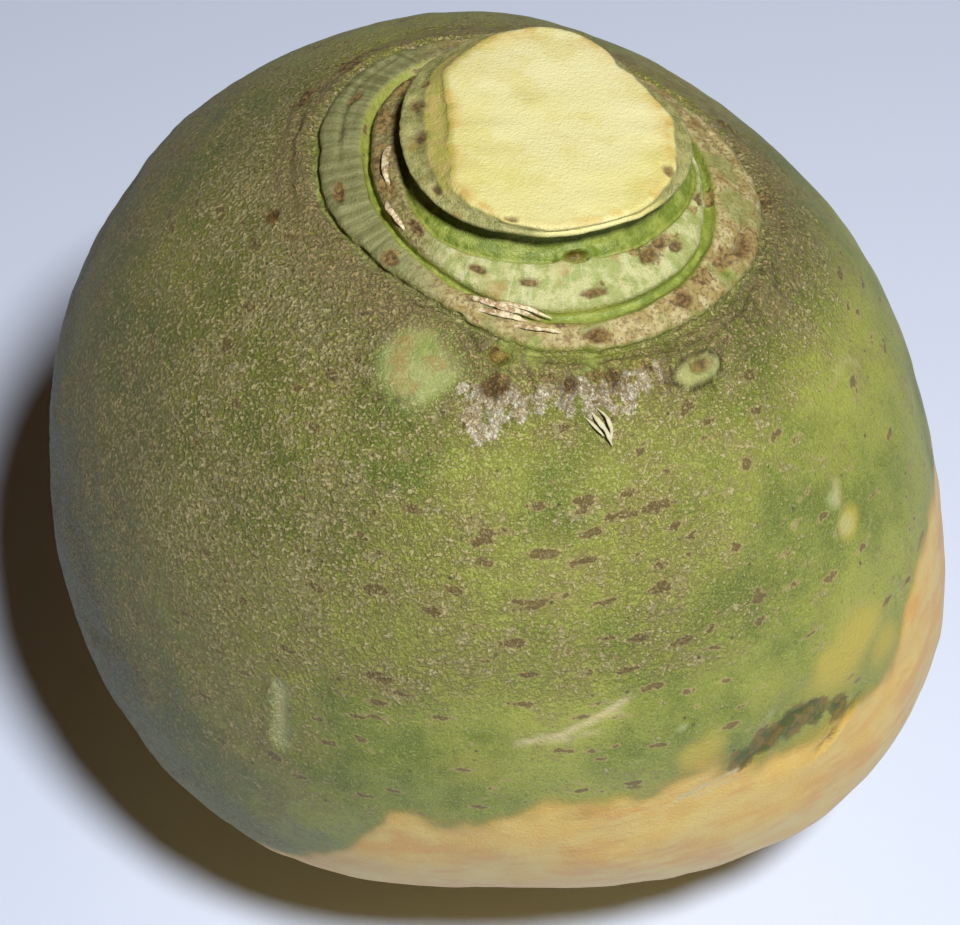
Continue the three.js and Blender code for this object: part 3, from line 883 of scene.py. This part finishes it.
where_x = make(tree, "ShaderNodeSeparateXYZ", None, {0: where_mm})
broad = noise(0.045, 2.0)
patch = noise(0.16, 3.0, 0.6)
medium = noise(0.55, 3.0, 0.6)
grainy = noise(1.9, 4.0, 0.66)
fine = noise(3.4, 1.0, 0.6)
speck = noise(2.2, 2.0, 0.7)
speck_two = noise(1.25, 2.0, 0.6)
ringed = noise(0.55, 3.0, 0.6, 0.4, stretched(0.22, 0.22, 1.25))
print(len(tree.nodes), "nodes so far")

# %% Green skin: deep to bright, with a fine pale fleck
green_deep, green_mid, green_bright = paint(128, 140, 54), paint(158, 166, 68), paint(184, 188, 84)
skin = blend(tree, patch.step(0.36, 0.62), green_deep, green_mid)
skin = blend(tree, broad.step(0.42, 0.6, 0.0, 0.75), skin, green_bright)
skin = blend(tree, fine.step(0.52, 0.7, 0.0, 0.35), skin, paint(196, 204, 132))
skin = blend(tree, fine.step(0.44, 0.3, 0.0, 0.4), skin, paint(92, 112, 42))
yellowed = noise(0.05, 2.0, 0.5, 0.0, stretched(1, 1, 1.4)).step(0.56, 0.72, 0.0, 0.4)
skin = blend(tree, yellowed, skin, paint(190, 182, 80))

# %% Corky russet: tan grains with painted shade in the hollows round them, thick where the mask is high
bent = make(tree, "ShaderNodeVectorMath", {"operation": "ADD"},
            {0: where_mm, 1: make(tree, "ShaderNodeTexNoise", None,
                                  {"Vector": where_mm, "Scale": 0.9, "Detail": 3.0}, out=1)})
cork_field = grainy * 0.5 + medium * 0.27 + patch * 0.23 + (ringed - 0.5) * mask["rows"] * 0.35
cork_edge = 0.6 - mask["cork"] * 0.15
cork = (cork_field - cork_edge).step(-0.015, 0.03)
cork_tone = blend(tree, speck.step(0.34, 0.6), paint(118, 98, 56), paint(210, 194, 140))
cork_tone = blend(tree, medium.step(0.5, 0.68, 0.0, 0.6), cork_tone, paint(220, 210, 166))
cork_tone = blend(tree, speck_two.step(0.54, 0.66, 0.0, 0.55), cork_tone, paint(152, 110, 62))
olive = (patch * 0.4 + medium * 0.4 + broad * 0.2 + mask["cork"] * 0.2).step(0.5, 0.66) * (1.0 - mask["base"])
skin = blend(tree, olive * 0.5, skin, paint(160, 146, 86))
# Painted shade: the skin darkens towards the left, the side turned away from the lamp.
painted_left_shade = where_x.step(-18.0, -62.0, 0.0, 0.42)
skin = blend(tree, painted_left_shade, skin, paint(92, 84, 46))
skin = blend(tree, cork * 0.62, skin, cork_tone)
dot_at = make(tree, "ShaderNodeVectorMath", {"operation": "MULTIPLY"}, {0: bent, 1: (0.3, 0.3, 1.0)})
dots = cells(0.5, "F1", dot_at) + (medium - 0.5) * 0.7 + (1.0 - mask["rows"]) * 0.1
lenticel = (dots - patch * 0.5).step(0.0, -0.06) * (1.0 - mask["base"])
halo = (dots - patch * 0.5).step(0.08, 0.01) * (1.0 - mask["base"])
skin = blend(tree, halo * 0.7, skin, paint(190, 174, 112))
skin = blend(tree, lenticel * 0.75, skin, paint(116, 92, 50))
# Painted shade: a dark olive band round each cork grain, where the raised grain would shade the skin beside
# it.
painted_grain_shade = (cork_field - cork_edge).step(-0.05, -0.015) * (1.0 - cork)
skin = blend(tree, painted_grain_shade * 0.2, skin, paint(88, 86, 40))
bare = (1.0 - mask["base"]) * (1.0 - mask["smooth"])
# Painted highlights: small pale flecks over the corky grain stand in for glints of light on it.
painted_fleck_highlight = (speck * 0.5 + grainy * 0.5 + mask["cork"] * 0.12).step(0.57, 0.66) * bare
skin = blend(tree, painted_fleck_highlight * 0.6, skin, paint(196, 184, 130))
shade = (speck_two * 0.5 + grainy * 0.5 - mask["cork"] * 0.08).step(0.44, 0.36) * bare
skin = blend(tree, shade * 0.32, skin, paint(88, 90, 42))
pores = cells(0.42, "F1").step(0.16, 0.07) * medium.step(0.48, 0.6)
skin = blend(tree, pores * 0.7, skin, paint(60, 52, 34))
skin = blend(tree, mask["yellow"], skin, paint(216, 194, 84))
skin = blend(tree, mask["pale"] * 0.75, skin, paint(200, 208, 146))

# %% The tan base, with orange patches and pale tissue
base_tone = blend(tree, patch.step(0.36, 0.64), paint(252, 218, 122), paint(250, 204, 100))
orange_band = noise(0.09, 3.0, 0.6, 0.3, stretched(1, 1, 2.2)).step(0.48, 0.66, 0.0, 0.7)
base_tone = blend(tree, orange_band, base_tone, paint(244, 178, 84))
base_tone = blend(tree, ringed.step(0.56, 0.75, 0.0, 0.4), base_tone, paint(224, 172, 90))
base_tone = blend(tree, fine.step(0.55, 0.7, 0.0, 0.3), base_tone, paint(255, 236, 168))
rim = (mask["base"].step(0.02, 0.4) * mask["base"].step(0.98, 0.6))
skin = blend(tree, mask["base"].step(0.3, 0.7), skin, base_tone)
skin = blend(tree, rim * 0.45, skin, paint(206, 170, 72))
bruised = blend(tree, medium.step(0.42, 0.58), paint(78, 90, 36), paint(138, 110, 48))
bruise_here = (mask["bruise"] * 1.3 + (medium - 0.5) * 1.8 + (grainy - 0.5)).step(0.25, 0.95)
skin = blend(tree, bruise_here * mask["bruise"].step(0.0, 0.3) * 0.85, skin, bruised)

# %% Old cracked scales, white with tan seams
plates = cells(1.25, "DISTANCE_TO_EDGE", make(tree, "ShaderNodeVectorMath", {"operation": "MULTIPLY"},
                                              {0: bent, 1: (1.5, 0.75, 0.75)}))
seams = (plates - (medium - 0.5) * 0.35).step(0.0, 0.16)
scale_tone = blend(tree, speck_two.step(0.38, 0.6), paint(222, 206, 164), paint(252, 246, 220))
scale_tone = blend(tree, (1.0 - seams) * 0.6, scale_tone, paint(160, 126, 78))
scale_tone = blend(tree, patch.step(0.54, 0.62, 0.0, 0.5), scale_tone, paint(176, 148, 96))
scale_here = (mask["scale"] + (medium - 0.5) * 2.2 + (speck_two - 0.5) * 1.2).step(0.35, 0.7)
skin = blend(tree, scale_here * mask["scale"].step(0.02, 0.3) * 0.9, skin, scale_tone)
skin = blend(tree, mask["scratch"], skin, paint(230, 214, 158))
print(len(tree.nodes), "nodes with the skin")

# %% Shelves: pale grey-green in front, tan and brown outside, olive to the left
spoke = make(tree, "ShaderNodeVectorMath", {"operation": "SUBTRACT"},
             {0: where_mm, 1: (float(NECK[0] - shift[0]), float(NECK[1] - shift[1]), 0)})
flat_spoke = make(tree, "ShaderNodeVectorMath", {"operation": "MULTIPLY"}, {0: spoke, 1: (1, 1, 0)})
round_spoke = make(tree, "ShaderNodeVectorMath", {"operation": "NORMALIZE"}, {0: flat_spoke})
fibres = noise(26.0, 3.0, 0.6, 0.0, round_spoke)
stipple = noise(5.0, 2.0, 0.6)
first_tone = blend(tree, medium.step(0.4, 0.6), paint(174, 182, 106), paint(214, 212, 150))
first_tone = blend(tree, fibres.step(0.5, 0.68, 0.0, 0.5), first_tone, paint(234, 232, 190))
first_tone = blend(tree, stipple.step(0.48, 0.32, 0.0, 0.5), first_tone, paint(128, 146, 72))
first_tone = blend(tree, patch.step(0.54, 0.66, 0.0, 0.7), first_tone, paint(182, 152, 88))
side_x = make(tree, "ShaderNodeSeparateXYZ", None, {0: spoke})
leftness = side_x.step(-10.0, -20.0)
old_left = blend(tree, grainy.step(0.42, 0.58), paint(112, 92, 52), paint(176, 162, 106))
first_tone = blend(tree, side_x.step(-12.0, -17.0, 0.0, 0.8), first_tone, old_left)
second_tone = blend(tree, medium.step(0.4, 0.62), paint(178, 158, 96), paint(212, 198, 142))
second_tone = blend(tree, grainy.step(0.48, 0.6, 0.0, 0.7), second_tone, paint(132, 102, 66))
second_tone = blend(tree, patch.step(0.5, 0.62, 0.0, 0.6), second_tone, paint(146, 156, 84))
second_left = blend(tree, fibres.step(0.36, 0.66), paint(132, 134, 82), paint(166, 168, 114))
second_left = blend(tree, grainy.step(0.54, 0.64, 0.0, 0.5), second_left, paint(122, 104, 66))
second_tone = blend(tree, leftness, second_tone, second_left)
third_tone = blend(tree, grainy.step(0.42, 0.6), skin, paint(178, 152, 100))
third_tone = blend(tree, medium.step(0.52, 0.66, 0.0, 0.6), third_tone, paint(116, 88, 54))

# %% Fresh green in the grooves, and the rind round the cut
groove_tone = blend(tree, medium.step(0.4, 0.65), paint(126, 144, 52), paint(170, 180, 84))
groove_tone = blend(tree, fibres.step(0.5, 0.7, 0.0, 0.3), groove_tone, paint(112, 122, 44))
rind_tone = blend(tree, medium.step(0.4, 0.6), paint(142, 142, 70), paint(186, 180, 108))
rind_tone = blend(tree, stipple.step(0.45, 0.62, 0.0, 0.5), rind_tone, paint(214, 210, 164))
rind_tone = blend(tree, patch.step(0.56, 0.64, 0.0, 0.7), rind_tone, paint(168, 146, 72))

# %% Moist flesh, with amber where the cut has dried along its edge
flesh_tone = blend(tree, broad.step(0.4, 0.62), paint(248, 240, 178), paint(242, 233, 152))
flesh_tone = blend(tree, stipple.step(0.5, 0.66, 0.0, 0.4), flesh_tone, paint(248, 246, 206))
flesh_tone = blend(tree, patch.step(0.56, 0.7, 0.0, 0.4), flesh_tone, paint(224, 206, 120))
amber = blend(tree, medium.step(0.4, 0.6), paint(214, 156, 62), paint(236, 198, 104))
flesh_tone = blend(tree, mask["dried"], flesh_tone, amber)
inner = noise(0.13, 3.0, 0.6).step(0.5, 0.66, 0.0, 0.35)
flesh_tone = blend(tree, inner, flesh_tone, paint(228, 212, 112))

# %% Put the zones together
colour = blend(tree, mask["third"] * 0.55, skin, third_tone)
colour = blend(tree, mask["second"], colour, second_tone)
colour = blend(tree, mask["first"], colour, first_tone)
colour = blend(tree, mask["green"], colour, groove_tone)
colour = blend(tree, mask["rind"], colour, rind_tone)
colour = blend(tree, mask["flesh"], colour, flesh_tone)
facet_tone = blend(tree, medium.step(0.4, 0.6), paint(196, 190, 96), paint(214, 192, 112))
colour = blend(tree, mask["facet"] * 0.85, colour, facet_tone)
stain_tone = blend(tree, speck_two.step(0.36, 0.6), paint(98, 72, 40), paint(176, 146, 88))
stained = (mask["stain"] + (grainy - 0.5) * 2.4 + (medium - 0.5) * 1.2).step(0.25, 0.95)
colour = blend(tree, stained * mask["stain"].step(0.0, 0.4) * 0.85, colour, stain_tone)
scar_tone = blend(tree, grainy.step(0.42, 0.6), paint(88, 64, 34), paint(150, 120, 70))
colour = blend(tree, mask["scar"] * 0.9, colour, scar_tone)
bud_tone = blend(tree, medium.step(0.4, 0.6), paint(96, 70, 24), paint(150, 118, 46))
colour = blend(tree, mask["bud"] * 0.85, colour, bud_tone)
colour = blend(tree, mask["amber"] * 0.7, colour, paint(176, 146, 84))
colour = blend(tree, mask["crack"] * 0.85, colour, paint(72, 56, 34))

LAMP_SHARE = 0.73
dimmed = make(tree, "ShaderNodeVectorMath", {"operation": "SCALE"}, {0: colour, "Scale": LAMP_SHARE})

# %% Roughness, relief and the surface itself
rough = 0.44 + cork * mask["cork"].step(0.02, 0.1) * 0.3 + mask["base"] * -0.06
rough = rough + mask["second"] * 0.2 + mask["first"] * 0.15 + mask["scar"] * 0.25 - mask["green"] * 0.08
rough = rough + (fine - 0.5) * 0.2 - mask["flesh"] * 0.02
crown_cover = (mask["flesh"] + mask["rind"] + mask["green"] + mask["first"] + mask["second"]).least(1.0)
height = grainy.step(0.42, 0.6) * mask["cork"] * (1.0 - crown_cover) * 1.1 + grainy * 0.45 + fine * 0.3
height = height + speck * mask["scale"] * 0.8
relief = make(tree, "ShaderNodeBump", None,
              {"Strength": 0.85, "Distance": 0.00045, "Height": height})
surface = make(tree, "ShaderNodeBsdfPrincipled", None,
               {"Base Color": dimmed, "Roughness": rough, "Normal": relief, "IOR": 1.42})
make(tree, "ShaderNodeOutputMaterial", None, {"Surface": surface})
mesh.materials.append(finish)
print(len(tree.nodes), "nodes in the finish")

# %% The finish of the loose shreds: dry, pale and streaked with brown
dry = bpy.data.materials.new("dry_shreds")
dry.use_nodes = True
dry.node_tree.nodes.clear()
dry_tree = dry.node_tree
dry_where = make(dry_tree, "ShaderNodeTexCoord", out=3)
streak = make(dry_tree, "ShaderNodeTexNoise", None,
              {"Vector": dry_where, "Scale": 900.0, "Detail": 3.0, "Roughness": 0.6})
speckle = make(dry_tree, "ShaderNodeTexNoise", None,
               {"Vector": dry_where, "Scale": 2600.0, "Detail": 2.0, "Roughness": 0.6})
dry_tone = blend(dry_tree, streak.step(0.4, 0.62), paint(150, 118, 76), paint(214, 200, 160))
dry_tone = blend(dry_tree, speckle.step(0.5, 0.66, 0.0, 0.6), dry_tone, paint(230, 222, 196))
front = make(dry_tree, "ShaderNodeSeparateXYZ", None, {0: dry_where}, out=2).step(0.1075, 0.1055)
dry_tone = blend(dry_tree, front * 0.8, dry_tone, paint(196, 192, 156))
dry_relief = make(dry_tree, "ShaderNodeBump", None,
                  {"Strength": 0.6, "Distance": 0.0002, "Height": speckle})
dry_surface = make(dry_tree, "ShaderNodeBsdfPrincipled", None,
                   {"Base Color": dry_tone, "Roughness": speckle.step(0.3, 0.7, 0.6, 0.85),
                    "Normal": dry_relief})
make(dry_tree, "ShaderNodeOutputMaterial", None, {"Surface": dry_surface})
shred_mesh.materials.append(dry)

# %% [markdown]
# ## Floor, light and camera
# A pale sheet under the root, one soft lamp high on the right, a little light from all round, and
# the camera looking down at the front of the crown.

# %% Floor
floor_mesh = bpy.data.meshes.new("paper_floor")
REACH = 2.0
floor_mesh.from_pydata([(-REACH, -REACH, 0), (REACH, -REACH, 0), (REACH, REACH, 0), (-REACH, REACH, 0)],
                       [], [(0, 1, 2, 3)])
floor = bpy.data.objects.new("paper_floor", floor_mesh)
bpy.context.scene.collection.objects.link(floor)
paper = bpy.data.materials.new("pale_paper")
paper.use_nodes = True
paper_surface = paper.node_tree.nodes["Principled BSDF"]
paper_surface.inputs["Base Color"].default_value = paint(213, 223, 244)
paper_surface.inputs["Roughness"].default_value = 0.85
floor_mesh.materials.append(paper)

# %% Lights
CENTRE = Vector((0, 0, MIDDLE * MM))


def lamp(name, azimuth, elevation, distance, size, power, tint):
    data = bpy.data.lights.new(name, "AREA")
    data.shape, data.size, data.energy, data.color = "DISK", size, power, tint
    holder = bpy.data.objects.new(name, data)
    holder.location = CENTRE + Vector(toward(azimuth, elevation)) * distance
    holder.rotation_euler = (CENTRE - holder.location).to_track_quat("-Z", "Y").to_euler()
    bpy.context.scene.collection.objects.link(holder)
    return holder


lamp("key_lamp", -63, 61.5, 0.70, 0.11, 6.35, (0.97, 0.98, 0.98))
world = bpy.data.worlds.new("studio")
world.use_nodes = True
world.node_tree.nodes["Background"].inputs["Color"].default_value = (1.0, 0.5, 0.28, 1)
world.node_tree.nodes["Background"].inputs["Strength"].default_value = 0.035
bpy.context.scene.world = world

# %% Camera
ELEVATION, DISTANCE, LENS = 50.0, 420.0, 110.9
eye = np.array([0, -math.cos(math.radians(ELEVATION)), math.sin(math.radians(ELEVATION))])
right = np.array([1.0, 0, 0])
up = np.cross(right, -eye)
aim = np.array([0, 0, MIDDLE]) - 2.4 * right + 0.36 * up - shift
view = bpy.data.cameras.new("camera")
view.lens, view.sensor_width = LENS, 36.0
camera = bpy.data.objects.new("camera", view)
camera.location = Vector((aim + eye * DISTANCE) * MM)
camera.rotation_euler = Vector(-eye).to_track_quat("-Z", "Y").to_euler()
bpy.context.scene.collection.objects.link(camera)
bpy.context.scene.camera = camera
bpy.context.scene.view_settings.view_transform = "Standard"
print("camera stands", round(camera.location.length, 3), "m from the origin")
